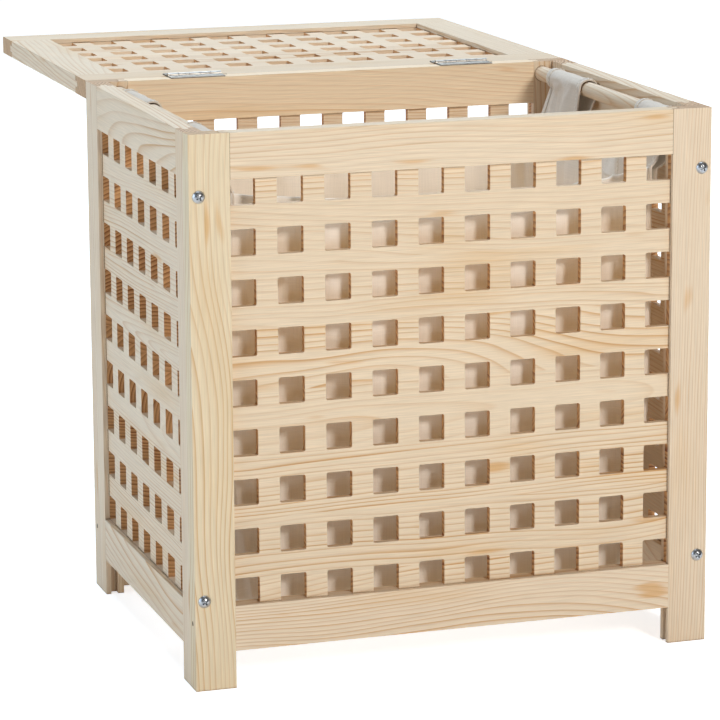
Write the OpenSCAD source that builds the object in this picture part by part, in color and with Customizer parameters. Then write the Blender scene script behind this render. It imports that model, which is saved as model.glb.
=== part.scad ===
// Knock-down pine laundry hamper: four lattice frames on legs, a hinged lattice lid that folds
// right back, and a cotton bag that hangs by four wide loops on two round rods.
// The origin is on the floor, straight below the middle of the hinge line.
// +X is to the right, +Y to the back and +Z up.
// The lid is drawn folded back, with its underside up and level with the rim.

/* [Body] */
// Width across the front
body_w = 500; // [460:10:540]
// Depth from the front face to the back face
body_d = 380; // [360:10:420]
// Height from the floor to the rim
body_h = 510; // [480:10:560]
// Height of the bottom rails above the floor
leg_gap = 35; // [20:1:45]

/* [Frame boards] */
// Thickness of every board
board_t = 18; // [17:0.5:20]
// Width of the corner posts, seen from the front
post_w = 38; // [34:1:42]
// Width of the side stiles behind the posts
stile_w = 25; // [24:1:30]
// Height of the top and bottom rails
rail_h = 42; // [36:1:46]
// Depth of the grooves that hold panels and rail tongues
groove_d = 8; // [6:0.5:8]

/* [Lattice panels] */
// Thickness of the lattice panels
panel_t = 7; // [6:0.5:7]
// Depth of a panel's outer face behind the frame's outer face
panel_recess = 5; // [4:0.5:5]
// Side of each square hole
hole = 24.5; // [20:0.5:25]
// Corner radius of each hole
hole_r = 2; // [1:0.5:3]
// Columns of holes in the front and back panels and in the lid
wide_columns = 10; // [8:1:10]
// Columns of holes in the side panels
side_columns = 7; // [5:1:7]
// Rows of holes in the four upright panels
upright_rows = 9; // [7:1:9]
// Rows of holes in the lid
lid_rows = 7; // [5:1:7]

/* [Lid] */
// Width of the lid's long rails
lid_rail_w = 44; // [40:1:48]
// Width of the lid's short stiles
lid_stile_w = 42; // [38:1:46]
// Gap between the back frame and the lid's hinge edge when the lid is folded back
lid_gap = 0.2; // [0.2:0.1:1]

/* [Hinges] */
// Distance of each hinge's centre from the side of the body
hinge_inset = 110; // [90:5:140]
// Length of one knuckle, five to a hinge
knuckle_len = 11; // [9:0.5:12]
// Outer radius of the barrel
barrel_r = 2.4; // [2.2:0.1:2.8]
// Radius of the hinge pin
hinge_pin_r = 1.2; // [1:0.1:1.3]
// Thickness of a leaf
leaf_t = 1.2; // [1:0.1:1.4]
// Reach of a leaf from the joint line
leaf_w = 17; // [15:0.5:17]

/* [Rods and bag] */
// Diameter of the bag rods
rod_d = 15; // [12:1:16]
// Distance of a rod's axis from the side of the body
rod_inset = 29; // [28:0.5:31]
// Distance of a rod's axis below the rim
rod_drop = 12.5; // [12:0.5:16]
// Distance of the bag's side walls from the sides of the body
bag_side_gap = 46; // [44:1:50]
// Distance of the bag's front and back walls from the front and back of the body
bag_end_gap = 26; // [24:1:36]
// Height of the bag's bottom above the floor
bag_floor = 70; // [60:1:90]
// Distance of the bag's top hem below the rim
bag_drop = 60; // [55:1:70]
// Width of the four hanging loops
loop_w = 90; // [60:5:100]

/* [Frame screws] */
// Distance of the upper screws below the rim
screw_drop = 56; // [50:1:70]
// Height of the lower screws above the floor
screw_rise = 84; // [80:1:95]
// Radius of a screw's pan head
screw_head_r = 5.8; // [5:0.1:6.2]

/* [Hidden] */

// Facets of small round features, and clearance where one solid sits inside another
round_fn = 32;
fit = 0.05;

// Openings inside the frames, and the tongues that enter the grooves
front_open_w = body_w - 2 * post_w;
side_open_w = body_d - 2 * board_t - 2 * stile_w;
upright_open_h = body_h - leg_gap - 2 * rail_h;
lid_open_w = body_w - 2 * lid_stile_w;
lid_open_d = body_d - 2 * lid_rail_w;
tongue = groove_d - 0.5;
open_z = leg_gap + rail_h;
top_rail_z = body_h - rail_h;

// Hinge axis, and the groove that clears the barrel
hinge_y = body_d / 2 + lid_gap / 2;
leaf_gap = 0.2;
hinge_z = body_h + leaf_t + leaf_gap / 2;
hinge_x = body_w / 2 - hinge_inset;
hinge_len = 5 * knuckle_len;
knuckle_gap = 0.3;
barrel_clear_r = barrel_r + 0.5;
barrel_clear_len = hinge_len + 12;
hinge_screw_pitch = 21;
hinge_screw_back = 11;
hinge_head_r = 3.2;
hinge_shank_r = 1.5;
hinge_shank_len = 13;
cross_w = 0.9;

// Frame screws and rail nails
head_h = 3.6;
head_dome_r = 6.6;
shank_r = 2.2;
shank_len = board_t + 15;
screw_inset = board_t / 2;
nail_r = 1.4;
nail_head_r = 2.2;
nail_len = post_w + 16;
nail_z = leg_gap + 0.64 * rail_h;

// Rods, bag and loops
rod_x = body_w / 2 - rod_inset;
rod_z = body_h - rod_drop;
rod_socket = board_t - panel_recess - panel_t - 0.5;
rod_end_play = 0.5;
bag_wall = 2.5;
bag_corner_r = 14;
bag_x = body_w / 2 - bag_side_gap;
bag_y = body_d / 2 - bag_end_gap;
bag_top = body_h - bag_drop;
loop_t = 1.5;
loop_ease = 0.4;
loop_tail = 25;
loop_meet = 4;
front_loop_y = -bag_y + loop_w / 2;
back_loop_y = body_d / 2 - board_t - 39 - loop_w / 2;

pine = [0.90, 0.82, 0.69];
pine_side = [0.84, 0.78, 0.70];
pine_rod_colour = [0.87, 0.79, 0.66];
zinc = [0.78, 0.79, 0.80];
cotton = [0.85, 0.81, 0.76];

// ---------- shared shapes ----------

// Draws its children on the right side (+1) or mirrored to the left (-1)
module on_side(side) {
    mirror([side < 0 ? 1 : 0, 0, 0]) children();
}

// Draws its children at the back (+1) or mirrored to the front (-1)
module on_end(end) {
    mirror([0, end < 0 ? 1 : 0, 0]) children();
}

// One square hole with rounded corners, its lower left corner at the origin
module rounded_hole() {
    translate([hole_r, 0]) square([hole - 2 * hole_r, hole]);
    translate([0, hole_r]) square([hole, hole - 2 * hole_r]);
    for (x = [hole_r, hole - hole_r], y = [hole_r, hole - hole_r])
        translate([x, y]) circle(r = hole_r, $fn = round_fn);
}

// A panel that fills an opening, its tongues in the grooves and its outer holes flush with the frame
module lattice(open_w, open_h, columns, rows) {
    pitch_x = (open_w - hole) / (columns - 1);
    pitch_y = (open_h - hole) / (rows - 1);
    linear_extrude(height = panel_t)
        difference() {
            translate([-tongue, -tongue]) square([open_w + 2 * tongue, open_h + 2 * tongue]);
            for (column = [0:columns - 1], row = [0:rows - 1])
                translate([column * pitch_x, row * pitch_y]) rounded_hole();
        }
}

// A rail along +X with a tongue at each end and a groove in its upper edge.
// The outer face is at y = 0 and the board's thickness runs along +Y.
module grooved_rail(length, height) {
    difference() {
        union() {
            cube([length, board_t, height]);
            translate([-tongue, panel_recess, 0]) cube([length + 2 * tongue, panel_t, height]);
        }
        translate([-tongue - 1, panel_recess, height - groove_d])
            cube([length + 2 * tongue + 2, panel_t, groove_d + 1]);
    }
}

// The same rail turned over, so that its groove is in the lower edge
module hanging_rail(length, height) {
    translate([0, 0, height]) mirror([0, 0, 1]) grooved_rail(length, height);
}

// A pan-head screw that points along -Z with its head's seat at z = 0
module pan_screw() {
    difference() {
        intersection() {
            cylinder(r = screw_head_r, h = head_h, $fn = 2 * round_fn);
            translate([0, 0, head_h - head_dome_r]) sphere(r = head_dome_r, $fn = 2 * round_fn);
        }
        for (turn = [30, 120])
            translate([0, 0, head_h]) rotate([0, 0, turn]) cube([6, 1.3, 4], center = true);
    }
    translate([0, 0, -shank_len]) cylinder(r = shank_r, h = shank_len, $fn = round_fn);
}

// A countersunk screw that points along -Z with its head's top at z = 0
module hinge_screw() {
    head = leaf_t - fit;
    difference() {
        translate([0, 0, -head])
            cylinder(r1 = hinge_shank_r, r2 = hinge_head_r, h = head, $fn = round_fn);
        for (turn = [20, 110])
            rotate([0, 0, turn]) cube([3.6, cross_w, 1.2], center = true);
    }
    translate([0, 0, -hinge_shank_len])
        cylinder(r = hinge_shank_r, h = hinge_shank_len - head, $fn = round_fn);
}

// ---------- posts and stiles ----------

// Where the four frame screws of one end go: children are drawn at each, pointing inwards
module at_frame_screws(end) {
    for (side = [-1, 1], z = [screw_rise, body_h - screw_drop])
        translate([side * (body_w / 2 - screw_inset), end * body_d / 2, z])
            rotate([end < 0 ? 90 : -90, 0, 0]) children();
}

// A corner post with its panel groove, rod socket, screw holes and nail hole
module post(side, end) {
    difference() {
        on_side(side) on_end(end) difference() {
            translate([body_w / 2 - post_w, body_d / 2 - board_t, 0]) cube([post_w, board_t, body_h]);
            translate([body_w / 2 - post_w - 1, body_d / 2 - panel_recess - panel_t, -1])
                cube([groove_d + 1, panel_t, body_h + 2]);
            translate([rod_x, body_d / 2 - board_t - 1, rod_z])
                rotate([-90, 0, 0]) cylinder(d = rod_d + 2 * fit, h = rod_socket + 1, $fn = 64);
            translate([body_w / 2 - post_w - 1, body_d / 2 - board_t / 2, nail_z])
                rotate([0, 90, 0]) cylinder(r = nail_r + fit, h = post_w + 2, $fn = round_fn);
            translate([body_w / 2 - 2, body_d / 2 - board_t / 2, nail_z])
                rotate([0, 90, 0]) cylinder(r = nail_head_r + fit, h = 3, $fn = round_fn);
        }
        at_frame_screws(end) translate([0, 0, -board_t - 1])
            cylinder(r = shank_r + fit, h = board_t + 2, $fn = round_fn);
    }
}

// A side stile with its panel groove and the pilot holes of the frame screws
module stile(side, end) {
    difference() {
        on_side(side) on_end(end) difference() {
            translate([body_w / 2 - board_t, body_d / 2 - board_t - stile_w, 0])
                cube([board_t, stile_w, body_h]);
            translate([body_w / 2 - panel_recess - panel_t, body_d / 2 - board_t - stile_w - 1, -1])
                cube([panel_t, groove_d + 1, body_h + 2]);
        }
        at_frame_screws(end) translate([0, 0, -shank_len - fit])
            cylinder(r = shank_r + fit, h = shank_len, $fn = round_fn);
    }
}

// ---------- front and back frames ----------

// Turns a rail or panel that faces -Y into the front (-1) or the back (+1) of the body
module face_end(end) {
    on_end(-end) translate([-front_open_w / 2, -body_d / 2, 0]) children();
}

module end_top_rail(end) {
    translate([0, 0, top_rail_z]) face_end(end) hanging_rail(front_open_w, rail_h);
}

module end_bottom_rail(end) {
    difference() {
        translate([0, 0, leg_gap]) face_end(end) grooved_rail(front_open_w, rail_h);
        for (side = [-1, 1])
            translate([side * (body_w - nail_len) / 2, end * (body_d - board_t) / 2, nail_z])
                rotate([0, 90, 0])
                    cylinder(r = nail_r + fit, h = nail_len + 2 * fit, center = true, $fn = round_fn);
    }
}

module end_lattice(end) {
    translate([0, 0, open_z]) face_end(end) translate([0, panel_recess + panel_t, 0])
        rotate([90, 0, 0]) lattice(front_open_w, upright_open_h, wide_columns, upright_rows);
}

module back_top_rail() {
    difference() {
        end_top_rail(1);
        hinge_cuts();
    }
}

// ---------- side frames ----------

// Turns a rail or panel that faces -Y into the left (-1) or the right (+1) side of the body
module face_side(side) {
    on_side(-side) translate([-body_w / 2, side_open_w / 2, 0]) rotate([0, 0, -90]) children();
}

module side_top_rail(side) {
    translate([0, 0, top_rail_z]) face_side(side) hanging_rail(side_open_w, rail_h);
}

module side_bottom_rail(side) {
    translate([0, 0, leg_gap]) face_side(side) grooved_rail(side_open_w, rail_h);
}

module side_lattice(side) {
    translate([0, 0, open_z]) face_side(side) translate([0, panel_recess + panel_t, 0])
        rotate([90, 0, 0]) lattice(side_open_w, upright_open_h, side_columns, upright_rows);
}

// ---------- lid, folded back with its underside up ----------

lid_y = body_d / 2 + lid_gap;
lid_z = body_h - board_t;

// A long lid rail: full width, with its groove facing +Y
module lid_long_rail() {
    difference() {
        translate([-body_w / 2, 0, 0]) cube([body_w, lid_rail_w, board_t]);
        translate([-body_w / 2 - 1, lid_rail_w - groove_d, board_t - panel_recess - panel_t])
            cube([body_w + 2, groove_d + 1, panel_t]);
    }
}

module lid_hinge_rail() {
    difference() {
        translate([0, lid_y, lid_z]) lid_long_rail();
        translate([0, 2 * hinge_y, 0]) mirror([0, 1, 0]) hinge_cuts();
    }
}

module lid_front_rail() {
    translate([0, lid_y + body_d, lid_z]) mirror([0, 1, 0]) lid_long_rail();
}

// A short lid stile: tongues into both long rails, and a groove that faces the panel
module lid_stile(side) {
    on_side(side) translate([body_w / 2 - lid_stile_w, lid_y + lid_rail_w, lid_z])
        difference() {
            union() {
                cube([lid_stile_w, lid_open_d, board_t]);
                translate([0, -tongue, board_t - panel_recess - panel_t])
                    cube([lid_stile_w, lid_open_d + 2 * tongue, panel_t]);
            }
            translate([-1, -tongue - 1, board_t - panel_recess - panel_t])
                cube([groove_d + 1, lid_open_d + 2 * tongue + 2, panel_t]);
        }
}

module lid_lattice() {
    translate([-lid_open_w / 2, lid_y + lid_rail_w, lid_z + board_t - panel_recess - panel_t])
        lattice(lid_open_w, lid_open_d, wide_columns, lid_rows);
}

// ---------- hinges ----------

// Cuts in the back top rail: barrel grooves and pilot holes. The lid's rail takes their mirror image.
module hinge_cuts() {
    for (side = [-1, 1]) {
        translate([side * hinge_x, hinge_y, hinge_z]) rotate([0, 90, 0])
            cylinder(r = barrel_clear_r, h = barrel_clear_len, center = true, $fn = 64);
        at_hinge_screws(side) translate([0, 0, -hinge_shank_len - fit])
            cylinder(r = hinge_shank_r + fit, h = 2 * hinge_shank_len, $fn = round_fn);
    }
}

// Where the three screws of one frame leaf go, with z = 0 at the leaf's top
module at_hinge_screws(side) {
    for (step = [-1, 0, 1])
        translate([side * hinge_x + step * hinge_screw_pitch, 0, 0])
            translate([0, body_d / 2 - hinge_screw_back, body_h + leaf_t]) children();
}

// One knuckle round the hinge axis, with the strip that joins it to its plate
module knuckle() {
    length = knuckle_len - knuckle_gap;
    rotate([0, 90, 0]) cylinder(r = barrel_r, h = length, center = true, $fn = 64);
    translate([-length / 2, -barrel_clear_r - 1, -leaf_t - leaf_gap / 2])
        cube([length, barrel_clear_r + 1, leaf_t]);
}

// A leaf on the back frame: its plate, and the knuckles listed
module hinge_leaf(side, knuckles) {
    plate_y = hinge_y - barrel_clear_r - fit;
    difference() {
        union() {
            translate([side * hinge_x - hinge_len / 2, body_d / 2 - leaf_w, body_h])
                cube([hinge_len, plate_y - body_d / 2 + leaf_w, leaf_t]);
            translate([side * hinge_x, hinge_y, hinge_z])
                for (number = knuckles)
                    translate([(number - 2) * knuckle_len, 0, 0]) knuckle();
        }
        translate([side * hinge_x, hinge_y, hinge_z]) rotate([0, 90, 0])
            cylinder(r = hinge_pin_r + fit, h = hinge_len + 2, center = true, $fn = 64);
        at_hinge_screws(side) translate([0, 0, -leaf_t])
            cylinder(r1 = hinge_shank_r + fit, r2 = hinge_head_r + fit, h = leaf_t, $fn = round_fn);
    }
}

module hinge_frame_leaf(side) {
    hinge_leaf(side, [0, 2, 4]);
}

module hinge_lid_leaf(side) {
    translate([0, 2 * hinge_y, 0]) mirror([0, 1, 0]) hinge_leaf(side, [1, 3]);
}

module hinge_pin(side) {
    translate([side * hinge_x, hinge_y, hinge_z]) rotate([0, 90, 0])
        cylinder(r = hinge_pin_r, h = hinge_len, center = true, $fn = 64);
}

module hinge_screws() {
    for (side = [-1, 1])
        at_hinge_screws(side) hinge_screw();
}

// ---------- frame fasteners ----------

module frame_screws(end) {
    at_frame_screws(end) pan_screw();
}

// Four nails through the posts' outer edges into the ends of the front and back bottom rails
module rail_nails() {
    for (side = [-1, 1], end = [-1, 1])
        on_side(side) translate([body_w / 2, end * (body_d - board_t) / 2, nail_z]) rotate([0, -90, 0]) {
            translate([0, 0, 0.5]) cylinder(r = nail_head_r, h = 1.5, $fn = round_fn);
            translate([0, 0, 2]) cylinder(r = nail_r, h = nail_len - 2, $fn = round_fn);
        }
}

// ---------- rods and bag ----------

module bag_rod(side) {
    length = body_d - 2 * board_t + 2 * (rod_socket - rod_end_play);
    translate([side * rod_x, 0, rod_z]) rotate([90, 0, 0])
        cylinder(d = rod_d, h = length, center = true, $fn = 64);
}

// A block with rounded upright edges, centred on the Z axis
module rounded_block(half_x, half_y, height, radius) {
    linear_extrude(height = height) {
        square([2 * half_x, 2 * (half_y - radius)], center = true);
        square([2 * (half_x - radius), 2 * half_y], center = true);
        for (x = [-1, 1], y = [-1, 1])
            translate([x * (half_x - radius), y * (half_y - radius)]) circle(r = radius, $fn = 64);
    }
}

module laundry_bag() {
    difference() {
        translate([0, 0, bag_floor])
            rounded_block(bag_x, bag_y, bag_top - bag_floor, bag_corner_r);
        translate([0, 0, bag_floor + bag_wall])
            rounded_block(bag_x - bag_wall, bag_y - bag_wall, bag_top - bag_floor, bag_corner_r - bag_wall);
    }
}

// Outline of a loop round its rod, drawn down to the point where its two legs meet
module loop_outline(radius, foot_r) {
    hull() {
        translate([rod_x, rod_z]) circle(r = radius, $fn = round_fn);
        translate([bag_x + loop_t / 2, bag_top + loop_meet]) circle(r = foot_r, $fn = round_fn);
    }
}

// A loop over its rod, with a tail sewn to the outside of the bag's wall
module bag_loop(side, centre_y) {
    inner_r = rod_d / 2 + loop_ease;
    on_side(side) translate([0, centre_y + loop_w / 2, 0]) rotate([90, 0, 0])
        linear_extrude(height = loop_w) {
            difference() {
                loop_outline(inner_r + loop_t, loop_t);
                loop_outline(inner_r, 0.2);
            }
            translate([bag_x + fit, bag_top - loop_tail]) square([loop_t, loop_tail + loop_meet]);
        }
}

// Moves a sub-part from the body's middle to the origin under the hinge line
module placed() {
    translate([0, -hinge_y, 0]) children();
}

color(pine) placed() post(-1, -1);  // front_left_post
color(pine) placed() post(1, -1);  // front_right_post
color(pine) placed() end_top_rail(-1);  // front_top_rail
color(pine) placed() end_bottom_rail(-1);  // front_bottom_rail
color(pine) placed() end_lattice(-1);  // front_lattice
color(pine) placed() post(-1, 1);  // back_left_post
color(pine) placed() post(1, 1);  // back_right_post
color(pine) placed() back_top_rail();
color(pine) placed() end_bottom_rail(1);  // back_bottom_rail
color(pine) placed() end_lattice(1);  // back_lattice
color(pine_side) placed() stile(-1, -1);  // left_front_stile
color(pine_side) placed() stile(-1, 1);  // left_back_stile
color(pine_side) placed() side_top_rail(-1);  // left_top_rail
color(pine_side) placed() side_bottom_rail(-1);  // left_bottom_rail
color(pine_side) placed() side_lattice(-1);  // left_lattice
color(pine_side) placed() stile(1, -1);  // right_front_stile
color(pine_side) placed() stile(1, 1);  // right_back_stile
color(pine_side) placed() side_top_rail(1);  // right_top_rail
color(pine_side) placed() side_bottom_rail(1);  // right_bottom_rail
color(pine_side) placed() side_lattice(1);  // right_lattice
color(pine_side) placed() lid_front_rail();
color(pine_side) placed() lid_hinge_rail();
color(pine_side) placed() lid_stile(-1);  // lid_left_stile
color(pine_side) placed() lid_stile(1);  // lid_right_stile
color(pine_side) placed() lid_lattice();
color(zinc) placed() hinge_frame_leaf(-1);  // left_hinge_frame_leaf
color(zinc) placed() hinge_lid_leaf(-1);  // left_hinge_lid_leaf
color(zinc) placed() hinge_pin(-1);  // left_hinge_pin
color(zinc) placed() hinge_frame_leaf(1);  // right_hinge_frame_leaf
color(zinc) placed() hinge_lid_leaf(1);  // right_hinge_lid_leaf
color(zinc) placed() hinge_pin(1);  // right_hinge_pin
color(zinc) placed() hinge_screws();  // hinge_frame_screws
color(zinc) placed() translate([0, 2 * hinge_y, 0]) mirror([0, 1, 0]) hinge_screws();  // hinge_lid_screws
color(zinc) placed() frame_screws(-1);  // front_frame_screws
color(zinc) placed() frame_screws(1);  // back_frame_screws
color(zinc) placed() rail_nails();
color(pine_rod_colour) placed() bag_rod(-1);  // left_rod
color(pine_rod_colour) placed() bag_rod(1);  // right_rod
color(cotton) placed() laundry_bag();
color(cotton) placed() bag_loop(-1, front_loop_y);  // left_front_loop
color(cotton) placed() bag_loop(-1, back_loop_y);  // left_back_loop
color(cotton) placed() bag_loop(1, front_loop_y);  // right_front_loop
color(cotton) placed() bag_loop(1, back_loop_y);  // right_back_loop
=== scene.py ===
"""Looks of the pine laundry hamper: solid pine with growth rings, zinc fittings and a cotton bag."""

import math

import bmesh
import bpy
import numpy as np
from mathutils import Matrix, Vector


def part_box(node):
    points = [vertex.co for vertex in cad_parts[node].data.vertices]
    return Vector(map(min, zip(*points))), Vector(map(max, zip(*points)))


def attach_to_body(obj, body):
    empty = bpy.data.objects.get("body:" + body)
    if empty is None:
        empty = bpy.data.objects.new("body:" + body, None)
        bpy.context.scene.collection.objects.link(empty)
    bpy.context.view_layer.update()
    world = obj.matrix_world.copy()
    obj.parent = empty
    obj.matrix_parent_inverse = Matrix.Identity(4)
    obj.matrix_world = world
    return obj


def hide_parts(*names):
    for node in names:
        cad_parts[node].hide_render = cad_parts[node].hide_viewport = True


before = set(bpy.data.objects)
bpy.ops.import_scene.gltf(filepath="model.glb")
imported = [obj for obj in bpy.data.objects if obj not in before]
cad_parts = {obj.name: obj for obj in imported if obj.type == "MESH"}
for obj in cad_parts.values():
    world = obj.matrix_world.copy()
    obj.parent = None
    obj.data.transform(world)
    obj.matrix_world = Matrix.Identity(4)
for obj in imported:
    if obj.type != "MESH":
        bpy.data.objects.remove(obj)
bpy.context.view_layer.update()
MM = 0.001
X, Y, Z = 0, 1, 2


def linear(red, green, blue):
    """An sRGB colour, each part from 0 to 255, as a linear colour with alpha."""
    def part(value):
        value /= 255
        return value / 12.92 if value <= 0.04045 else ((value + 0.055) / 1.055) ** 2.4
    return (part(red), part(green), part(blue), 1.0)


# ---------- node graphs ----------

class Graph:
    """A material's node tree, with one short call for each kind of node."""

    def __init__(self, name):
        self.material = bpy.data.materials.new(name)
        self.material.use_nodes = True
        self.tree = self.material.node_tree
        self.tree.nodes.clear()

    def node(self, kind, inputs=(), **settings):
        made = self.tree.nodes.new(kind)
        for key, value in settings.items():
            setattr(made, key, value)
        for key, value in dict(inputs).items():
            self.feed(made.inputs[key], value)
        return made

    def feed(self, socket, value):
        if isinstance(value, bpy.types.NodeSocket):
            self.tree.links.new(value, socket)
        else:
            socket.default_value = value

    def math(self, operation, a, b=0.0):
        return self.node("ShaderNodeMath", {0: a, 1: b}, operation=operation).outputs[0]

    def vector(self, operation, a, b=(0.0, 0.0, 0.0)):
        return self.node("ShaderNodeVectorMath", {0: a, 1: b}, operation=operation).outputs[0]

    def scaled(self, vector, value):
        """vector times the number value."""
        return self.node("ShaderNodeVectorMath", {0: vector, "Scale": value}, operation="SCALE").outputs[0]

    def combine(self, x, y, z):
        return self.node("ShaderNodeCombineXYZ", {0: x, 1: y, 2: z}).outputs[0]

    def separate(self, vector):
        return self.node("ShaderNodeSeparateXYZ", {0: vector}).outputs

    def noise(self, vector, scale, detail=2.0, roughness=0.5):
        made = self.node("ShaderNodeTexNoise", {"Vector": vector, "Scale": scale, "Detail": detail,
                                                "Roughness": roughness})
        return made.outputs

    def stretched_noise(self, parts, scales, detail=2.0, roughness=0.5):
        """Noise with its own scale, per metre, along each of three parts."""
        spread = [self.math("MULTIPLY", part, scale) for part, scale in zip(parts, scales)]
        return self.noise(self.combine(*spread), 1.0, detail, roughness)

    def dice(self, value):
        """Random numbers from 0 to 1, the same wherever value is the same."""
        return self.node("ShaderNodeTexWhiteNoise", {"W": value}, noise_dimensions="1D").outputs

    def centred(self, value, span):
        """value, which runs from 0 to 1, spread over span with its middle at 0."""
        return self.math("MULTIPLY", self.math("SUBTRACT", value, 0.5), span)

    def ramp(self, value, low, high, start=0.0, end=1.0, smooth=True):
        """value from low..high mapped to start..end, and held at both ends."""
        made = self.node("ShaderNodeMapRange", {"Value": value, "From Min": low, "From Max": high,
                                                "To Min": start, "To Max": end})
        made.interpolation_type = "SMOOTHSTEP" if smooth else "LINEAR"
        return made.outputs[0]

    def mix(self, share, a, b, blend="MIX"):
        made = self.node("ShaderNodeMix", data_type="RGBA", blend_type=blend)
        for socket, value in zip((made.inputs[0], made.inputs[6], made.inputs[7]), (share, a, b)):
            self.feed(socket, value)
        return made.outputs[2]

    def openness(self, reach):
        """1 in the open, less in a corner or a gap that is narrower than reach."""
        return self.node("ShaderNodeAmbientOcclusion", {"Distance": reach}, samples=6).outputs["AO"]

    def shade(self, inputs, bump=None, strength=0.3, distance=0.0005):
        """The finished surface: one Principled shader, with a bump if a height is given."""
        shader = self.node("ShaderNodeBsdfPrincipled", inputs)
        if bump is not None:
            made = self.node("ShaderNodeBump", {"Height": bump, "Strength": strength, "Distance": distance})
            self.feed(shader.inputs["Normal"], made.outputs[0])
        output = self.node("ShaderNodeOutputMaterial")
        self.feed(output.inputs[0], shader.outputs[0])
        return self.material


# ---------- pine ----------

PALE = linear(238, 216, 188)
LATE = linear(208, 156, 96)
HEART = linear(230, 194, 148)
RESIN = linear(222, 172, 112)
END_LATE = linear(150, 98, 58)
# Painted shade: the dark brown that inside corners and narrow gaps between boards are darkened towards
PAINTED_SHADE_TINT = (0.30, 0.19, 0.10, 1.0)
END_TINT = (0.83, 0.69, 0.55, 1.0)
# End grain in the lattices' holes: partly the wood's own darker end grain, partly painted shade and warm
# bounced light in the holes
HOLE_GRAIN_AND_SHADE_TINT = (0.84, 0.57, 0.33, 1.0)

# Scales of the noises, per metre: along the fibres, and across them twice
DRIFT_SCALE = (2.4, 6.0, 6.0)
SHIVER_SCALE = (7.0, 34.0, 34.0)
FIBRE_SCALE = (22.0, 1100.0, 1100.0)
CLOUD_SCALE = (4.0, 26.0, 26.0)
FADE_SCALE = (3.0, 16.0, 16.0)
RESIN_SCALE = (11.0, 62.0, 62.0)
PACE_SCALE = 70.0

# Rings: how fast they narrow up the trunk, and by how many years they tremble and crowd
TAPER = 0.03
TREMBLE = 0.9
CROWDING = 2.2

# Staves: how far their piths lie apart, in metres, and how far they slip along the fibres
STAVE_SHIFT = (0.09, 0.11)
STAVE_SLIP = 7.0

# Late wood: its part of the year, how suddenly it starts, and how much of its colour shows
LATE_RISE = (0.20, 0.90)
LATE_FALL = (0.91, 1.0, 1.0, 0.0)
FACE_SHARPNESS = 3.2
END_SHARPNESS = 1.2
YEAR_MOOD = (0.0, 1.0, 0.45, 1.0)
LATE_SHARE = 0.95

# Ranges: from and to of a noise, then from and to of what it sets
END_FACING = (0.45, 0.85)
FADE = (0.36, 0.62, 0.45, 1.0)
STAVE_FADE = (0.15, 0.75, 0.45, 1.15)
STAVE_TONE = (0.0, 1.0, 0.965, 1.02)
CLOUD = (0.52, 0.78)
RESIN_STREAK = (0.70, 0.80, 0.0, 0.75)
FIBRE = (0.28, 0.72)
FIBRE_TONE = (0.87, 1.06)
# Painted shade in inside corners and gaps: how open a spot is against how dark it turns, then how far it
# reaches
PAINTED_SHADE_RANGE = (0.46, 0.86, 0.88, 0.0)
PAINTED_SHADE_REACH = 2.2 * MM
LATE_ROUGH = (0.0, 1.0, 0.60, 0.50)


def ring_count(g, fibres, pith, seed, ring, sway):
    """How many years of growth lie between the pith and a point, with the waves that a real trunk has."""
    along, u, v = fibres
    drift = g.separate(g.stretched_noise(fibres, DRIFT_SCALE, 1.5, 0.45)["Color"])
    u_bent = g.math("ADD", g.math("SUBTRACT", u, pith[0]), g.centred(drift[0], sway))
    v_bent = g.math("ADD", g.math("SUBTRACT", v, pith[1]), g.centred(drift[1], sway))
    squares = [g.math("POWER", g.math("ABSOLUTE", part), 2.0) for part in (u_bent, v_bent)]
    radius = g.math("SQRT", g.math("ADD", *squares))
    shiver = g.stretched_noise(fibres, SHIVER_SCALE, 1.0)["Fac"]
    pace = g.noise(g.combine(g.math("MULTIPLY", radius, PACE_SCALE), seed, 0.0), 1.0, 1.0)["Fac"]
    count = g.math("DIVIDE", g.math("ADD", radius, g.math("MULTIPLY", along, TAPER)), ring * MM)
    count = g.math("ADD", count, g.math("MULTIPLY", shiver, TREMBLE))
    return g.math("ADD", count, g.math("MULTIPLY", pace, CROWDING))


def late_wood(g, count, end_grain):
    """How dark a year's growth is: 0 in spring, and up to 1 at its end. Each year has its own strength."""
    phase = g.math("FRACT", count)
    sharpness = g.ramp(end_grain, 0.0, 1.0, FACE_SHARPNESS, END_SHARPNESS, smooth=False)
    rise = g.math("POWER", g.ramp(phase, *LATE_RISE, smooth=False), sharpness)
    mood = g.dice(g.math("FLOOR", count))["Value"]
    shape = g.math("MULTIPLY", rise, g.ramp(phase, *LATE_FALL))
    return g.math("MULTIPLY", shape, g.ramp(mood, *YEAR_MOOD, smooth=False))


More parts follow.
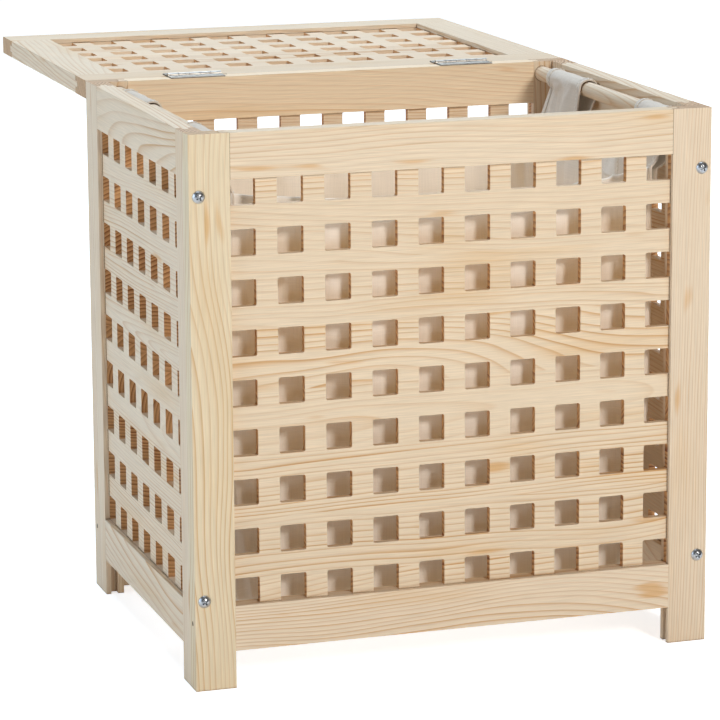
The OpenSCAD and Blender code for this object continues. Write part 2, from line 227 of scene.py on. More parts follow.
def pine(name, grain, centre, pith, ring=3.2, tone=1.0, contrast=1.0, strip=0.0, across=Z, seed=0.0,
         knotty=0.5, sway=0.034, hue=(1.0, 1.0, 1.0)):
    """Solid pine. grain is the axis that the fibres follow, centre the board's middle, and pith the distance
    of the tree's middle from the board's, in mm, along the two other axes. ring is the width of a year's
    growth in mm, and sway how far the rings wander, in metres. strip is the width in mm of the staves that
    a panel is glued from, side by side along across."""
    g = Graph(name)
    place = g.node("ShaderNodeTexCoord").outputs
    parts = g.separate(g.vector("SUBTRACT", place["Object"], tuple(centre)))
    shift = [part * MM for part in pith]
    slip = seed
    if strip:
        stave = g.math("FLOOR", g.math("DIVIDE", parts[across], strip * MM))
        dice = g.separate(g.dice(g.math("ADD", stave, seed))["Color"])
        shift = [g.math("ADD", g.centred(dice[k], STAVE_SHIFT[k]), shift[k]) for k in (0, 1)]
        slip = g.math("ADD", g.math("MULTIPLY", dice[2], STAVE_SLIP), seed)
    fibres = [g.math("ADD", parts[grain], slip)] + [parts[axis] for axis in (X, Y, Z) if axis != grain]
    end_grain = g.ramp(g.math("ABSOLUTE", g.separate(place["Normal"])[grain]), *END_FACING)
    late = late_wood(g, ring_count(g, fibres, shift, seed, ring, sway), end_grain)
    fibre = g.stretched_noise(fibres, FIBRE_SCALE, 3.0, 0.6)["Fac"]
    strength = g.ramp(g.stretched_noise(fibres, FADE_SCALE, 1.0)["Fac"], *FADE)
    dust = g.ramp(fibre, *FIBRE, *(FIBRE_TONE[k] * tone for k in (0, 1)), smooth=False)
    if strip:
        strength = g.math("MULTIPLY", strength, g.ramp(dice[1], *STAVE_FADE))
        dust = g.math("MULTIPLY", dust, g.ramp(dice[0], *STAVE_TONE, smooth=False))
    amount = g.math("MULTIPLY", late, g.math("MAXIMUM", g.math("MULTIPLY", strength, LATE_SHARE * contrast),
                                             g.math("MULTIPLY", end_grain, LATE_SHARE)))
    cloud = g.stretched_noise(fibres, CLOUD_SCALE)["Fac"]
    resin = g.stretched_noise(fibres, RESIN_SCALE, 1.0)["Fac"]
    base = g.mix(g.ramp(cloud, *CLOUD, 0.0, knotty), PALE, HEART)
    base = g.mix(g.ramp(resin, *RESIN_STREAK), base, RESIN)
    base = g.mix(amount, base, g.mix(end_grain, LATE, END_LATE))
    colour = g.scaled(g.vector("MULTIPLY", base, hue), dust)
    # End grain darkens; on the lattices this also paints the shade and warm bounced light inside the holes
    colour = g.mix(end_grain, colour, g.mix(1.0, colour, HOLE_GRAIN_AND_SHADE_TINT if strip else END_TINT, "MULTIPLY"))
    # Painted shade: the wood darkens in inside corners and gaps narrower than the reach, as shadow lines
    # under the rails and between boards
    painted_shade = g.ramp(g.openness(PAINTED_SHADE_REACH), *PAINTED_SHADE_RANGE)
    colour = g.mix(painted_shade, colour, g.mix(1.0, colour, PAINTED_SHADE_TINT, "MULTIPLY"))
    height = g.math("ADD", g.math("MULTIPLY", fibre, 0.7), g.math("MULTIPLY", late, 0.5))
    rough = g.math("ADD", g.ramp(late, *LATE_ROUGH), g.centred(fibre, 0.12))
    return g.shade({"Base Color": colour, "Roughness": rough, "Specular IOR Level": 0.32},
                   height, 0.22, 0.0004)


# ---------- metal ----------

SCRATCH_SCALE = (4000.0, 500.0, 4000.0)
TARNISH = (0.40, 0.72)
# Painted shade in the fittings' gaps: how open a spot is against how dark it turns, and the near black it
# turns to
GAP_SHADE_RANGE = (0.40, 0.85, 0.9, 0.0)
GAP_SHADE_COLOUR = (0.03, 0.03, 0.03, 1.0)


def metal(name, colour, rough, grime, reach=1.6):
    """Plated metal with fine scratches, tarnish, and painted shade in gaps narrower than reach, in mm."""
    g = Graph(name)
    place = g.node("ShaderNodeTexCoord").outputs["Object"]
    cloudy = g.noise(place, 260.0, 4.0, 0.6)["Fac"]
    scratch = g.noise(g.vector("MULTIPLY", place, SCRATCH_SCALE), 1.0, 2.0)["Fac"]
    dark = tuple(part * grime for part in colour[:3]) + (1.0,)
    shade = g.mix(g.ramp(cloudy, *TARNISH), colour, dark)
    roughness = g.math("ADD", g.math("MULTIPLY", scratch, 0.22), rough - 0.08)
    # Painted shade: the metal turns near black in gaps narrower than reach, where shadow falls
    shade = g.mix(g.ramp(g.openness(reach * MM), *GAP_SHADE_RANGE), shade, GAP_SHADE_COLOUR)
    return g.shade({"Base Color": shade, "Metallic": 1.0, "Roughness": roughness}, scratch, 0.10, 0.0001)


# ---------- cotton ----------

# Painted glow: a warm emission colour that stands in for light bounced into the bag's shade, and a neutral
# one near the rim
PAINTED_GLOW_WARM = (1.0, 0.66, 0.28, 1.0)
PAINTED_GLOW_NEAR_RIM = (0.90, 0.92, 0.88, 1.0)

# Scales of the noises, per metre: along both threads, then a plain number that sets the noises apart
WANDER_SCALE = (90.0, 90.0, 0.0)
SLUB_SCALES = ((1500.0, 25.0, 0.0), (25.0, 1500.0, 3.0))
BLOTCH_SCALE = (12.0, 12.0, 5.0)

# Heights in metres between which the painted glow grows, fades at the rim, and turns from warm to neutral
PAINTED_GLOW_GROWS = (0.08, 0.38, 0.06, 0.14)
PAINTED_GLOW_FADES = (0.43, 0.475, 1.0, 0.2)
PAINTED_GLOW_TURNS = (0.400, 0.435)


def cotton(name, colour, pitch):
    """Plain-weave cotton with a painted glow, a weak warm emission that stands in for light bounced into the
    bag's shade.
    The weave follows the UV map, which is in metres. pitch is one thread's width in mm."""
    g = Graph(name)
    place = g.node("ShaderNodeTexCoord").outputs
    uv = g.separate(place["UV"])
    cut = (uv[0], uv[1], 1.0)
    wander = g.stretched_noise(cut, WANDER_SCALE)["Fac"]
    turns = math.tau / (2 * pitch * MM)
    bend = g.math("MULTIPLY", wander, 2.0)
    threads = [g.math("SINE", g.math("ADD", g.math("MULTIPLY", uv[k], turns), bend)) for k in (0, 1)]
    over = g.math("MULTIPLY", *threads)
    slub = g.math("ADD", *(g.stretched_noise(cut, scales)["Fac"] for scales in SLUB_SCALES))
    blotch = g.stretched_noise(cut, BLOTCH_SCALE, 3.0)["Fac"]
    value = g.math("ADD", g.ramp(over, -1.0, 1.0, 0.90, 1.0, smooth=False),
                   g.math("MULTIPLY", g.math("SUBTRACT", slub, 1.0), 0.16))
    value = g.math("ADD", value, g.centred(blotch, 0.08))
    made = g.scaled(colour[:3], value)
    height = g.math("ADD", g.math("MULTIPLY", over, 0.5), g.math("MULTIPLY", slub, 0.6))
    level = g.separate(place["Object"])[Z]
    # Painted glow: an emission that lights the cloth's shade, strongest low in the bag and fading at the rim
    glow = g.math("MULTIPLY", g.ramp(level, *PAINTED_GLOW_GROWS), g.ramp(level, *PAINTED_GLOW_FADES))
    painted_glow_tint = g.mix(g.ramp(level, *PAINTED_GLOW_TURNS), PAINTED_GLOW_WARM, PAINTED_GLOW_NEAR_RIM)
    return g.shade({"Base Color": made, "Roughness": 0.92, "Specular IOR Level": 0.2, "Sheen Weight": 0.15,
                    "Sheen Roughness": 0.5, "Emission Color": g.mix(1.0, made, painted_glow_tint, "MULTIPLY"),
                    "Emission Strength": glow}, height, 0.35, 0.0003)


# ---------- boards ----------

LATTICE_BEVEL = 0.5
ROD_BEVEL = 0.6
METAL_BEVEL = 0.15
SAME_POINT = 0.01 * MM
LEVEL_ANGLE = math.radians(0.5)
EDGE_ANGLE = math.radians(40)


def middle(node):
    low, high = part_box(node)
    return (low + high) / 2


def wear_bevel(node, width):
    """Rounds the edges of a CAD piece by width in mm, as sanding or stamping does."""
    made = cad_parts[node]
    weld = made.modifiers.new("join_faces", "WELD")
    weld.merge_threshold = SAME_POINT
    flat = made.modifiers.new("join_level_faces", "DECIMATE")
    flat.decimate_type = "DISSOLVE"
    flat.angle_limit = LEVEL_ANGLE
    bevel = made.modifiers.new("sanded_edges", "BEVEL")
    bevel.width = width * MM
    bevel.segments = 2
    bevel.limit_method = "ANGLE"
    bevel.angle_limit = EDGE_ANGLE
    made.modifiers.new("even_shading", "WEIGHTED_NORMAL")


def dress(node, material):
    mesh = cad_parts[node].data
    mesh.materials.clear()
    mesh.materials.append(material)


def board(node, grain, pith, bevel=0.65, **settings):
    dress(node, pine("pine_" + node, grain, middle(node), pith, **settings))
    wear_bevel(node, bevel)


def make_boards():
    """Pine for every board. Each has its own place in its own tree."""
    board("front_left_post", Z, (-90, -60), ring=4.3, seed=1.3, knotty=0.3, sway=0.06,
          hue=(0.985, 1.0, 0.93))
    board("front_right_post", Z, (120, 40), ring=2.6, seed=2.9, contrast=0.8, tone=0.97, sway=0.02)
    board("front_top_rail", X, (-46, 62), ring=4.6, seed=3.1, contrast=0.70, sway=0.07, hue=(1.0, 1.0, 0.985))
    board("front_bottom_rail", X, (62, -66), ring=2.6, seed=4.6, contrast=1.2, sway=0.05)
    board("front_lattice", X, (30, 0), bevel=LATTICE_BEVEL, strip=58, across=Z, seed=5.2, ring=5.2, sway=0.06,
          contrast=1.35, knotty=0.8, hue=(1.012, 1.0, 0.965))
    board("back_left_post", Z, (40, 70), seed=6.1)
    board("back_right_post", Z, (-44, 66), seed=7.7, ring=2.8)
    board("back_top_rail", X, (60, -44), seed=8.3, ring=3.0, tone=1.14, contrast=0.8, sway=0.05,
          hue=(1.0, 0.985, 0.945))
    board("back_bottom_rail", X, (-50, 30), seed=9.4)
    board("back_lattice", X, (-20, 10), bevel=LATTICE_BEVEL, strip=62, across=Z, seed=10.8, ring=3.4)
    for side, seed in (("left", 20.0), ("right", 40.0)):
        board(side + "_front_stile", Z, (60, -50), seed=seed + 1.1)
        board(side + "_back_stile", Z, (-70, 40), seed=seed + 2.2)
        board(side + "_top_rail", Y, (50, -25), seed=seed + 3.3, ring=4.0)
        board(side + "_bottom_rail", Y, (-60, 20), seed=seed + 4.4)
        board(side + "_lattice", Y, (24, 0), bevel=LATTICE_BEVEL, strip=75, across=Z, seed=seed + 5.5,
              ring=3.4)
    board("lid_front_rail", X, (60, -40), seed=61.0)
    board("lid_hinge_rail", X, (-50, 60), seed=62.0, hue=(0.97, 0.945, 0.91))
    board("lid_left_stile", Y, (40, 60), seed=63.0)
    board("lid_right_stile", Y, (-60, 50), seed=64.0)
    board("lid_lattice", X, (0, 30), bevel=LATTICE_BEVEL, strip=58, across=Y, seed=65.0, tone=1.03,
          hue=(1.01, 0.98, 0.955))
    board("left_rod", Y, (9, -14), bevel=ROD_BEVEL, seed=71.0, ring=2.6, tone=0.95)
    board("right_rod", Y, (12, 10), bevel=ROD_BEVEL, seed=72.0, ring=2.6, tone=0.95)


def make_fittings():
    """Metal for the screws, the hinges and the nails."""
    zinc = metal("zinc_plate", (0.58, 0.59, 0.61, 1.0), 0.30, 0.66)
    worn = metal("hinge_plate", (0.46, 0.43, 0.39, 1.0), 0.34, 0.60, reach=3.2)
    nail = metal("dark_nail", (0.20, 0.17, 0.14, 1.0), 0.50, 0.6)
    for node in ("front_frame_screws", "back_frame_screws", "hinge_frame_screws", "hinge_lid_screws",
                 "left_hinge_frame_leaf", "left_hinge_lid_leaf", "left_hinge_pin",
                 "right_hinge_frame_leaf", "right_hinge_lid_leaf", "right_hinge_pin"):
        dress(node, worn if "hinge" in node else zinc)
        wear_bevel(node, METAL_BEVEL)
    dress("rail_nails", nail)


# ---------- bag and loops ----------

BAG_STEP = 6.8 * MM
LOOP_STEP = 3.8 * MM
CLOTH = 0.9 * MM
HEM_CLOTH = 0.8 * MM
HEM_ROWS = 3
BAND_STEP = 0.01

# Thread: its radius, and the sides and cross-sections of one stitch
THREAD = 0.32 * MM
THREAD_SIDES = 6
THREAD_CUTS = 5

# Bag: how far its corners are rounded, its cloth jostled, and its lower corners drawn in and up
BAG_CORNER = 9 * MM
JOSTLE = 0.5 * MM
DRAWN = (21 * MM, 12 * MM, 9 * MM)
BAG_REACH = 11 * MM
BAG_SPARE = 5 * MM

# Pleats at the bag's corners: how far they go from a corner, their depths, and their two lengths
PLEAT_REACH = 80 * MM
PLEAT_DEPTH = 3.6
RIM_PLEAT_DEPTH = 4.0
PLEAT_LENGTH = 19 * MM
PLEAT_DRIFT = 61 * MM
RIM_FROM = 0.62
RIM_DRAWN = 3 * MM
RIM_SAG = 7 * MM
CORNER_BULGE = 7 * MM

# Loops: their ripple, their cap on movement, and the share that the front ones are drawn together
RIPPLE = 0.8 * MM
LOOP_JOSTLE = 0.15 * MM
LOOP_REACH = 9 * MM
LOOP_DRAWN = 0.28
LOOP_TAIL = 20 * MM


def grid_mesh(name, points, faces, flat):
    """A mesh from points and quads. Its UV map holds flat, each corner's place on the cut cloth in metres."""
    mesh = bpy.data.meshes.new(name)
    mesh.from_pydata([tuple(p) for p in points], [], faces)
    layer = mesh.uv_layers.new(name="cut")
    for face, places in zip(mesh.polygons, flat):
        for loop, place in zip(face.loop_indices, places):
            layer.data[loop].uv = place
        face.use_smooth = True
    made = bpy.data.objects.new(name, mesh)
    bpy.context.scene.collection.objects.link(made)
    return made


def coordinates(obj):
    flat = np.zeros(len(obj.data.vertices) * 3)
    obj.data.vertices.foreach_get("co", flat)
    return flat.reshape(-1, 3)


def place_points(obj, points):
    obj.data.vertices.foreach_set("co", np.asarray(points, np.float32).ravel())
    obj.data.update()


def pin(obj, weights):
    group = obj.vertex_groups.new(name="held")
    for index, weight in enumerate(weights):
        group.add([index], float(weight), "REPLACE")


def settle(obj, frames, gravity, slack, tension, bending):
    """The shape that obj ends in after a number of frames of Cloth, held by its group."""
    made = obj.modifiers.new("cloth", "CLOTH")
    cloth = made.settings
    cloth.quality = 6
    cloth.mass = 0.12
    cloth.tension_stiffness = cloth.compression_stiffness = tension
    cloth.shear_stiffness = tension * 0.6
    cloth.bending_stiffness = bending
    cloth.tension_damping = cloth.compression_damping = cloth.shear_damping = 12
    cloth.air_damping = 3
    cloth.vertex_group_mass = "held"
    cloth.pin_stiffness = 1.0
    cloth.shrink_min = -slack
    cloth.effector_weights.gravity = gravity
    made.collision_settings.use_collision = True
    made.collision_settings.distance_min = 1.2 * MM
    made.point_cache.frame_start = 1
    made.point_cache.frame_end = frames
    scene = bpy.context.scene
    for number in range(1, frames + 1):
        scene.frame_set(number)
    shape = obj.evaluated_get(bpy.context.evaluated_depsgraph_get())
    settled = np.array([v.co for v in shape.data.vertices], float)
    obj.modifiers.remove(made)
    scene.frame_set(1)
    return settled


def capped(start, end, reach):
    """end, with no point further than reach from where it started."""
    moved = end - start
    far = np.linalg.norm(moved, axis=1, keepdims=True)
    return start + moved * np.minimum(1.0, reach / np.maximum(far, 1e-9))


def thicken(obj, thickness, material):
    """Smooths a sheet once and gives it its thickness and its material."""
    smooth = obj.modifiers.new("smooth", "SUBSURF")
    smooth.levels = smooth.render_levels = 1
    solid = obj.modifiers.new("thickness", "SOLIDIFY")
    solid.thickness = thickness
    solid.offset = 0.0
    obj.data.materials.append(material)


def cell(u, v, wide, deep):
    """The four corners of one cell of the cut cloth."""
    return [(u, v), (u + wide, v), (u + wide, v + deep), (u, v + deep)]


def run_along(line):
    """How far each point of a line is from its start, measured along it."""
    return np.concatenate([[0], np.cumsum(np.linalg.norm(np.diff(line, axis=0), axis=1))])


def spaced(at, run, values):
    """values, known at the distances run, at the distances at."""
    return np.stack([np.interp(at, run, column) for column in values.T], axis=-1)


def bag_shape():
    """The cut bag standing open: its points, quads, cut places, the rings of its walls, and its box."""
    low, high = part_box("laundry_bag")
    size = high - low
    nx, ny, nz = (max(4, round(length / BAG_STEP)) for length in size)
    xs, ys = np.linspace(low.x, high.x, nx + 1), np.linspace(low.y, high.y, ny + 1)
    points = [(x, y, low.z) for y in ys for x in xs]

    def floor(i, j):
        return j * (nx + 1) + i

    around = ([(i, 0) for i in range(nx)] + [(nx, j) for j in range(ny)]
              + [(nx - i, ny) for i in range(nx)] + [(0, ny - j) for j in range(ny)])
    ring = [floor(i, j) for i, j in around]
    rings = [ring]
    count = len(ring)
    for level in range(1, nz + 1):
        start = len(points)
        height = low.z + size.z * level / nz
        points += [(points[i][0], points[i][1], height) for i in ring]
        rings.append(list(range(start, start + count)))
    faces, flat = [], []
    for j in range(ny):
        for i in range(nx):
            faces.append((floor(i, j), floor(i, j + 1), floor(i + 1, j + 1), floor(i + 1, j)))
            flat.append([points[k][:2] for k in faces[-1]])
    for level in range(nz):
        for k in range(count):
            after = (k + 1) % count
            faces.append((rings[level][k], rings[level][after], rings[level + 1][after], rings[level + 1][k]))
            flat.append(cell(k * BAG_STEP, level * size.z / nz, BAG_STEP, size.z / nz))
    return np.array(points), faces, flat, rings, low, high


def rounded(points, low, high, radius):
    """points with the bag's four upright edges rounded to radius."""
    centre = (np.array(low) + np.array(high)) / 2
    half = (np.array(high) - np.array(low)) / 2
    away = np.abs(points[:, :2] - centre[:2])
    inner = half[:2] - radius
    over = np.maximum(away - inner, 0)
    both = (over > 0).all(axis=1)
    reach = np.linalg.norm(over, axis=1)
    largest = np.max(over, axis=1)
    scale = np.where(both & (reach > 1e-9), largest / np.maximum(reach, 1e-9), 1.0)
    new = np.where(both[:, None], inner + over * scale[:, None], away)
    out = points.copy()
    out[:, :2] = centre[:2] + np.sign(points[:, :2] - centre[:2]) * new
    return out


def loop_spans():
    """Where along Y each loop is sewn on, for the left and the right side."""
    spans = {}
    for side in ("left", "right"):
        boxes = [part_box(f"{side}_{end}_loop") for end in ("front", "back")]
        spans[side] = [(low.y, high.y) for low, high in boxes]
    return spans


def gather(points, rings, height, size):
    """Pleats at the four upright corners, deepest at the rim where the loops pull, and a sagging rim."""
    corners = np.cumsum([0, size.x, size.y, size.x, size.y])
    for ring in rings:
        line = points[ring]
        along = np.arange(len(ring)) * corners[-1] / len(ring)
        to_corner = np.min(np.abs(along[:, None] - corners), axis=1)
        near = np.clip(1 - to_corner / PLEAT_REACH, 0, 1) ** 1.2
        share = float(height[ring[0]])
        rim = np.clip((share - RIM_FROM) / (1 - RIM_FROM), 0, 1)
        depth = (PLEAT_DEPTH + RIM_PLEAT_DEPTH * rim ** 1.4) * MM
        wave = np.sin(along / PLEAT_LENGTH * math.tau + 2.2 * np.sin(along / PLEAT_DRIFT) + share * 1.5)
        points[ring] += outward(line) * (near * depth * wave - near * rim * RIM_DRAWN)[:, None]
        points[ring, 0] += np.sign(line[:, 0]) * near * (1 - rim) * CORNER_BULGE
        on_end = np.abs(line[:, 1] - line[:, 1].mean()) > size.y * 0.49
        spread = np.where(on_end, 1 - (2 * line[:, 0] / size.x) ** 2, 0)
        points[ring, 2] -= np.clip(spread, 0, 1) * RIM_SAG * rim


def draw_in_corners(start, points, height, high, middle_y):
    """Draws the lower corners of the bag in and up, as an empty bag's are."""
    across = np.minimum(1, np.abs(points[:, 0]) / high.x)
    back = np.minimum(1, np.abs(points[:, 1] - middle_y) / (high.y - middle_y))
    pull = np.clip((across * back - 0.72) / 0.28, 0, 1) ** 2 * np.clip(1 - height * 2.6, 0, 1)
    start[:, 0] -= np.sign(points[:, 0]) * pull * DRAWN[0]
    start[:, 1] -= np.sign(points[:, 1] - middle_y) * pull * DRAWN[1]
    start[:, 2] += pull * DRAWN[2]


def bag_hold(points, rings, height, high):
    """How firmly each point of the bag is held: fully where the loops are sewn on, hardly in the walls."""
    held = np.full(len(points), 0.02)
    held[np.abs(height) < 1e-6] = 0.03
    held[rings[-1]] = 0.35
    held[rings[-2]] = 0.12
    spans = loop_spans()
    for k in rings[-1]:
        side = "right" if points[k, 0] > 0 else "left"
        on_side = abs(abs(points[k, 0]) - high.x) < 1e-4
        if on_side and any(low <= points[k, 1] <= top for low, top in spans[side]):
            held[k] = 1.0
    return held


def make_bag(material):
    points, faces, flat, rings, low, high = bag_shape()
    height = (points[:, 2] - low.z) / (high.z - low.z)
    middle_y = (low.y + high.y) / 2
    start = rounded(points, low, high, BAG_CORNER)
    dice = np.random.default_rng(7)
    start += dice.normal(0, JOSTLE, start.shape) * (0.2 < height)[:, None]
    draw_in_corners(start, points, height, high, middle_y)
    gather(start, rings, height, high - low)
    bag = grid_mesh("cotton_bag", start, faces, flat)
    pin(bag, bag_hold(points, rings, height, high))
    settled = settle(bag, frames=26, gravity=0.35, slack=0.035, tension=22, bending=0.6)
    place_points(bag, capped(start, settled, BAG_REACH))
    keep_inside(bag, low, high)
    thicken(bag, CLOTH, material)
    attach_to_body(bag, "hamper")
    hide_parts("laundry_bag")
    return bag, rings, low, high


def keep_inside(bag, low, high):
    """Keeps the cloth off the lattices."""
    points = coordinates(bag)
    for axis in (X, Y):
        points[:, axis] = np.clip(points[:, axis], low[axis] - BAG_SPARE, high[axis] + BAG_SPARE)
    place_points(bag, points)


def band(name, rows, lift, material, closed):
    """A strip of cloth sewn over another: rows of points, each lifted off by its vector in lift."""
    rows = np.asarray(rows)
    lifted = rows + lift
    deep, wide = lifted.shape[:2]
    faces, flat = [], []
    steps = wide if closed else wide - 1
    for r in range(deep - 1):
        for k in range(steps):
            n = (k + 1) % wide
            faces.append((r * wide + k, r * wide + n, (r + 1) * wide + n, (r + 1) * wide + k))
            flat.append(cell(k * BAND_STEP, r * BAND_STEP, BAND_STEP, BAND_STEP))
    made = grid_mesh(name, lifted.reshape(-1, 3), faces, flat)
    thicken(made, HEM_CLOTH, material)
    return made


def outward(line):
    """The level direction that points out of a ring of points, for each of them."""
    ahead = np.roll(line, -1, axis=0) - np.roll(line, 1, axis=0)
    out = np.stack([ahead[:, 1], -ahead[:, 0], np.zeros(len(line))], axis=1)
    return out / np.maximum(np.linalg.norm(out, axis=1, keepdims=True), 1e-9)


def thread(name, line, normals, pitch, length, material, closed=False):
    """A row of stitches along a line: short threads that rise out of the cloth and dip back in."""
    line, normals = np.asarray(line, float), np.asarray(normals, float)
    if closed:
        line, normals = np.vstack([line, line[:1]]), np.vstack([normals, normals[:1]])
    run = run_along(line)
    points, faces = [], []
    sides, cuts = THREAD_SIDES, THREAD_CUTS
    for start in np.arange(pitch / 2, run[-1] - length, pitch):
        share = np.linspace(0, 1, cuts)
        centre = spaced(start + share * length, run, line)
        up = spaced(start + share * length, run, normals)
        ahead = centre[-1] - centre[0]
        ahead /= max(np.linalg.norm(ahead), 1e-9)
        across = np.cross(ahead, up[0])
        centre = centre + up * (np.sin(share * math.pi) * 1.5 * THREAD)[:, None]
        first = len(points)
        for place, normal, part in zip(centre, up, share):
            thin = THREAD * (0.45 + 0.55 * math.sin(part * math.pi))
            for k in range(sides):
                turn = math.tau * k / sides
                points.append(place + across * math.cos(turn) * thin + normal * math.sin(turn) * thin)
        for c in range(cuts - 1):
            for k in range(sides):
                a, b = first + c * sides + k, first + c * sides + (k + 1) % sides
                faces.append((a, b, b + sides, a + sides))
        faces.append(tuple(first + k for k in reversed(range(sides))))
        faces.append(tuple(first + (cuts - 1) * sides + k for k in range(sides)))
    mesh = bpy.data.meshes.new(name)
    mesh.from_pydata([tuple(p) for p in points], [], faces)
    for face in mesh.polygons:
        face.use_smooth = True
    mesh.materials.append(material)
    made = bpy.data.objects.new(name, mesh)
    bpy.context.scene.collection.objects.link(made)
    return made


def attach(obj):
    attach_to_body(obj, "hamper")
    return obj


def make_bag_hem(bag, rings, material, stitching):
    """The folded top hem, outside and inside, and its row of stitches."""
    points = coordinates(bag)
    rows = [points[rings[-1 - r]] for r in range(HEM_ROWS + 1)]
    out = [outward(row) for row in rows]
    lift = np.array(out)
    rise = np.array([0, 0, 1.0])
    fold = [rows[0] + rise * 1.2 * MM] + rows[1:]
    outer = attach(band("bag_hem_outside", fold, lift * 0.9 * MM, material, True))
    inner = attach(band("bag_hem_inside", fold, -lift * 0.9 * MM, material, True))
    low_line = rows[-1] + rise * 3 * MM
    pieces = [outer, inner]
    for name, side in (("bag_hem_stitches", out[-1]), ("bag_hem_stitches_inside", -out[-1])):
        row = thread(name, low_line + side * 1.4 * MM, side, 4.2 * MM, 3.0 * MM, stitching, True)
        pieces.append(attach(row))
    return pieces


def rod_dummy(side):
    """A stand-in for a rod, for the loops to fall on while they are simulated."""
    low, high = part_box(f"{side}_rod")
    centre, radius = (low + high) / 2, (high.x - low.x) / 2
    mesh = bpy.data.meshes.new("rod_dummy")
    shape = bmesh.new()
    lying = Matrix.Translation(centre) @ Matrix.Rotation(math.pi / 2, 4, "X")
    bmesh.ops.create_cone(shape, cap_ends=True, segments=48, radius1=radius, radius2=radius,
                          depth=high.y - low.y, matrix=lying)
    shape.to_mesh(mesh)
    shape.free()
    dummy = bpy.data.objects.new("rod_dummy", mesh)
    bpy.context.scene.collection.objects.link(dummy)
    dummy.modifiers.new("touch", "COLLISION")
    dummy.collision.thickness_outer = 0.8 * MM
    dummy.collision.cloth_friction = 20
    return dummy


def loop_line(side, outer_x, inner_x, seam_z, tail_z):
    """A loop's path in X and Z, evenly spaced, from its outer tail over the rod to its inner tail."""
    low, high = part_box(f"{side}_rod")
    sign = 1 if side == "right" else -1
    rod_x, rod_z = abs(low.x + high.x) / 2, (low.z + high.z) / 2
    radius = (high.x - low.x) / 2 + 1.3 * MM
    turn = np.linspace(-0.15, math.pi + 0.15, 24)
    over = np.stack([rod_x + radius * np.cos(turn), rod_z + radius * np.sin(turn)], axis=1)
    corners = np.vstack([[outer_x, tail_z], [outer_x, seam_z], over, [inner_x, seam_z], [inner_x, tail_z]])
    run = run_along(corners)
    line = spaced(np.linspace(0, run[-1], round(run[-1] / LOOP_STEP) + 1), run, corners)
    line[:, 0] *= sign
    return line, run[-1]


def loop_sheet(name, line, ys):
    """A flat loop of cloth bent along line, a path in X and Z, and as wide as ys."""
    points = np.array([(x, y, z) for x, z in line for y in ys])
    row = len(ys)
    faces, flat = [], []
    for r in range(len(line) - 1):
        for k in range(row - 1):
            first = r * row + k
            faces.append((first, first + 1, first + row + 1, first + row))
            flat.append(cell(k * LOOP_STEP, r * LOOP_STEP, LOOP_STEP, LOOP_STEP))
    return grid_mesh(name, points, faces, flat), points


def grid_normals(grid):
    """The normals of a grid of points, turned so that the topmost point's looks up."""
    normal = np.cross(np.gradient(grid, axis=1), np.gradient(grid, axis=0))
    normal /= np.maximum(np.linalg.norm(normal, axis=2, keepdims=True), 1e-9)
    top = np.unravel_index(np.argmax(grid[..., 2]), grid.shape[:2])
    return -normal if normal[top][2] < 0 else normal


def loop_hems(node, grid, material, stitching):
    """A narrow hem with its stitches along both edges of a loop."""
    normal = grid_normals(grid)
    last = grid.shape[1] - 1
    pieces = []
    for name, columns in (("front", (0, 1, 2)), ("back", (last - 2, last - 1, last))):
        strip = grid[:, columns].transpose(1, 0, 2)
        lift = normal[:, columns].transpose(1, 0, 2) * 0.75 * MM
        pieces.append(attach(band(f"{node}_{name}_hem", strip, lift, material, False)))
        inner = columns[-1] if name == "front" else columns[0]
        pieces.append(attach(thread(f"{node}_{name}_stitches", grid[:, inner] + normal[:, inner] * 0.9 * MM,
                                    normal[:, inner], 4.0 * MM, 2.8 * MM, stitching)))
    return pieces


def make_loop(side, end, bag_high, material, stitching, seed):
    """A loop that falls on its rod. Both its tails are held where they are sewn to the bag."""
    node = f"{side}_{end}_loop"
    low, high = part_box(node)
    line, length = loop_line(side, bag_high.x + 2.6 * MM, bag_high.x - 2.2 * MM, bag_high.z + 1 * MM,
                             bag_high.z - LOOP_TAIL)
    wide = round((high.y - low.y) / LOOP_STEP)
    ys = np.linspace(low.y + 1 * MM, high.y - 1 * MM, wide + 1)
    loop, points = loop_sheet(node.replace("_loop", "_fabric_loop"), line, ys)
    free = points[:, 2] > bag_high.z + 2 * MM
    start = points.copy()
    wave = np.sin((points[:, 1] - low.y) / (high.y - low.y) * math.tau * 2.5 + seed) * RIPPLE
    dice = np.random.default_rng(seed)
    start[free, 0] += wave[free] + dice.normal(0, LOOP_JOSTLE, free.sum())
    place_points(loop, start)
    pin(loop, np.where(free, 0.0, 1.0))
    settled = settle(loop, frames=30, gravity=0.5, slack=0.05, tension=18, bending=0.25)
    place_points(loop, capped(start, settled, LOOP_REACH))
    grid = coordinates(loop).reshape(len(line), wide + 1, 3)
    if end == "front":
        rise = np.clip((grid[..., 2] - bag_high.z) / (60 * MM), 0, 1)
        grid[..., 1] = low.y + (grid[..., 1] - low.y) * (1 - LOOP_DRAWN * np.sin(rise * math.pi / 2))
        place_points(loop, grid.reshape(-1, 3))
    thicken(loop, CLOTH, material)
    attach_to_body(loop, "hamper")
    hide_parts(node)
    pieces = loop_hems(node, grid, material, stitching)


def make_soft_goods():
    """The bag and its four loops, each pair of loops simulated over a stand-in for its rod."""
    fabric = cotton("cotton_cloth", linear(239, 231, 221), 0.45)
    tape = cotton("cotton_tape", linear(226, 213, 198), 0.45)
    stitching = cotton("cotton_thread", linear(236, 230, 220), 0.12)
    bag, rings, low, high = make_bag(fabric)
    hem = make_bag_hem(bag, rings, fabric, stitching)
    for side, seed in (("left", 3), ("right", 5)):
        dummy = rod_dummy(side)
        for end, more in (("front", 0), ("back", 1)):
            make_loop(side, end, high, tape, stitching, seed + more)
        mesh = dummy.data
        bpy.data.objects.remove(dummy)
        bpy.data.meshes.remove(mesh)


# ---------- floor, light and camera ----------

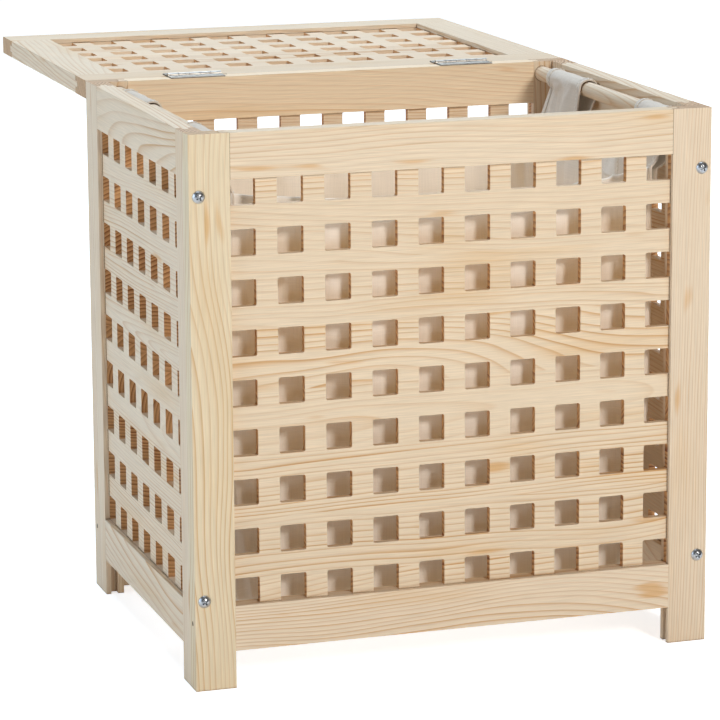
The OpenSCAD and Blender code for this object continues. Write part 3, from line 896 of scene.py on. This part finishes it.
def make_stage():
    """A pale floor that meets a white surround."""
    mesh = bpy.data.meshes.new("floor")
    reach = 30.0
    mesh.from_pydata([(-reach, -reach, 0), (reach, -reach, 0), (reach, reach, 0), (-reach, reach, 0)], [],
                     [(0, 1, 2, 3)])
    floor = bpy.data.objects.new("floor", mesh)
    bpy.context.scene.collection.objects.link(floor)
    g = Graph("pale_floor")
    place = g.node("ShaderNodeTexCoord").outputs["Object"]
    speck = g.noise(place, 40.0, 2.0)["Fac"]
    shade = g.mix(speck, linear(249, 249, 249), linear(252, 252, 252))
    away = g.node("ShaderNodeVectorMath", {0: place}, operation="LENGTH").outputs["Value"]
    seen = g.node("ShaderNodeLightPath").outputs["Is Camera Ray"]
    glow = g.math("ADD", g.ramp(away, 0.7, 2.6, 0.20, 0.50), g.math("MULTIPLY", seen, 0.48))
    mesh.materials.append(g.shade({"Base Color": shade, "Roughness": 0.9, "Specular IOR Level": 0.1,
                                   "Emission Color": linear(249, 252, 255), "Emission Strength": glow}))


def area_light(name, place, aim, size, power, colour):
    data = bpy.data.lights.new(name, "AREA")
    data.shape, data.size, data.energy, data.color = "SQUARE", size, power, colour
    made = bpy.data.objects.new(name, data)
    made.location = place
    made.rotation_mode = "QUATERNION"
    made.rotation_quaternion = (Vector(aim) - Vector(place)).to_track_quat("-Z", "Y")
    bpy.context.scene.collection.objects.link(made)


def make_light():
    """White to the camera, a faint cool surround, a warm soft key in front, and cool light around it."""
    world = bpy.data.worlds.new("surround")
    world.use_nodes = True
    tree = world.node_tree
    tree.nodes.clear()
    seen = tree.nodes.new("ShaderNodeBackground")
    seen.inputs["Color"].default_value = (1.0, 1.0, 1.0, 1.0)
    seen.inputs["Strength"].default_value = 1.05
    felt = tree.nodes.new("ShaderNodeBackground")
    felt.inputs["Color"].default_value = (0.86, 0.93, 1.0, 1.0)
    felt.inputs["Strength"].default_value = 0.05
    rays, either, output = (tree.nodes.new(kind) for kind in
                            ("ShaderNodeLightPath", "ShaderNodeMixShader", "ShaderNodeOutputWorld"))
    tree.links.new(rays.outputs["Is Camera Ray"], either.inputs[0])
    tree.links.new(felt.outputs[0], either.inputs[1])
    tree.links.new(seen.outputs[0], either.inputs[2])
    tree.links.new(either.outputs[0], output.inputs[0])
    bpy.context.scene.world = world
    heart = (0.0, -0.19, 0.3)
    area_light("key", (1.08, -4.25, 2.25), heart, 0.85, 100.0, (1.0, 0.965, 0.915))
    area_light("left_fill", (-3.4, -0.6, 1.3), heart, 2.4, 46.0, (0.66, 0.82, 1.0))
    area_light("overhead", (0.0, 0.4, 3.4), heart, 2.2, 58.0, (0.74, 0.87, 1.0))
    area_light("back_top", (0.6, 2.2, 2.6), heart, 1.6, 50.0, (0.74, 0.87, 1.0))
    bpy.context.scene.view_settings.view_transform = "Standard"


def make_camera():
    """The photograph's view: from the left front, a little above the rim, through a long lens."""
    azimuth, elevation, roll = math.radians(-18.27), math.radians(11.28), math.radians(-0.28)
    forward = Vector((-math.sin(azimuth) * math.cos(elevation), math.cos(azimuth) * math.cos(elevation),
                      -math.sin(elevation)))
    right = forward.cross(Vector((0, 0, 1))).normalized()
    up = right.cross(forward)
    right, up = (right * math.cos(roll) + up * math.sin(roll),
                 up * math.cos(roll) - right * math.sin(roll))
    data = bpy.data.cameras.new("camera")
    data.lens, data.sensor_width = 174.15, 36.0
    data.shift_x, data.shift_y = -0.0278, -0.0833
    data.clip_start, data.clip_end = 0.1, 100.0
    camera = bpy.data.objects.new("camera", data)
    camera.matrix_world = Matrix((right, up, -forward)).transposed().to_4x4()
    camera.location = (-1.039, -3.3061, 0.965)
    bpy.context.scene.collection.objects.link(camera)
    bpy.context.scene.camera = camera


make_boards()
make_fittings()
make_soft_goods()
make_stage()
make_light()
make_camera()
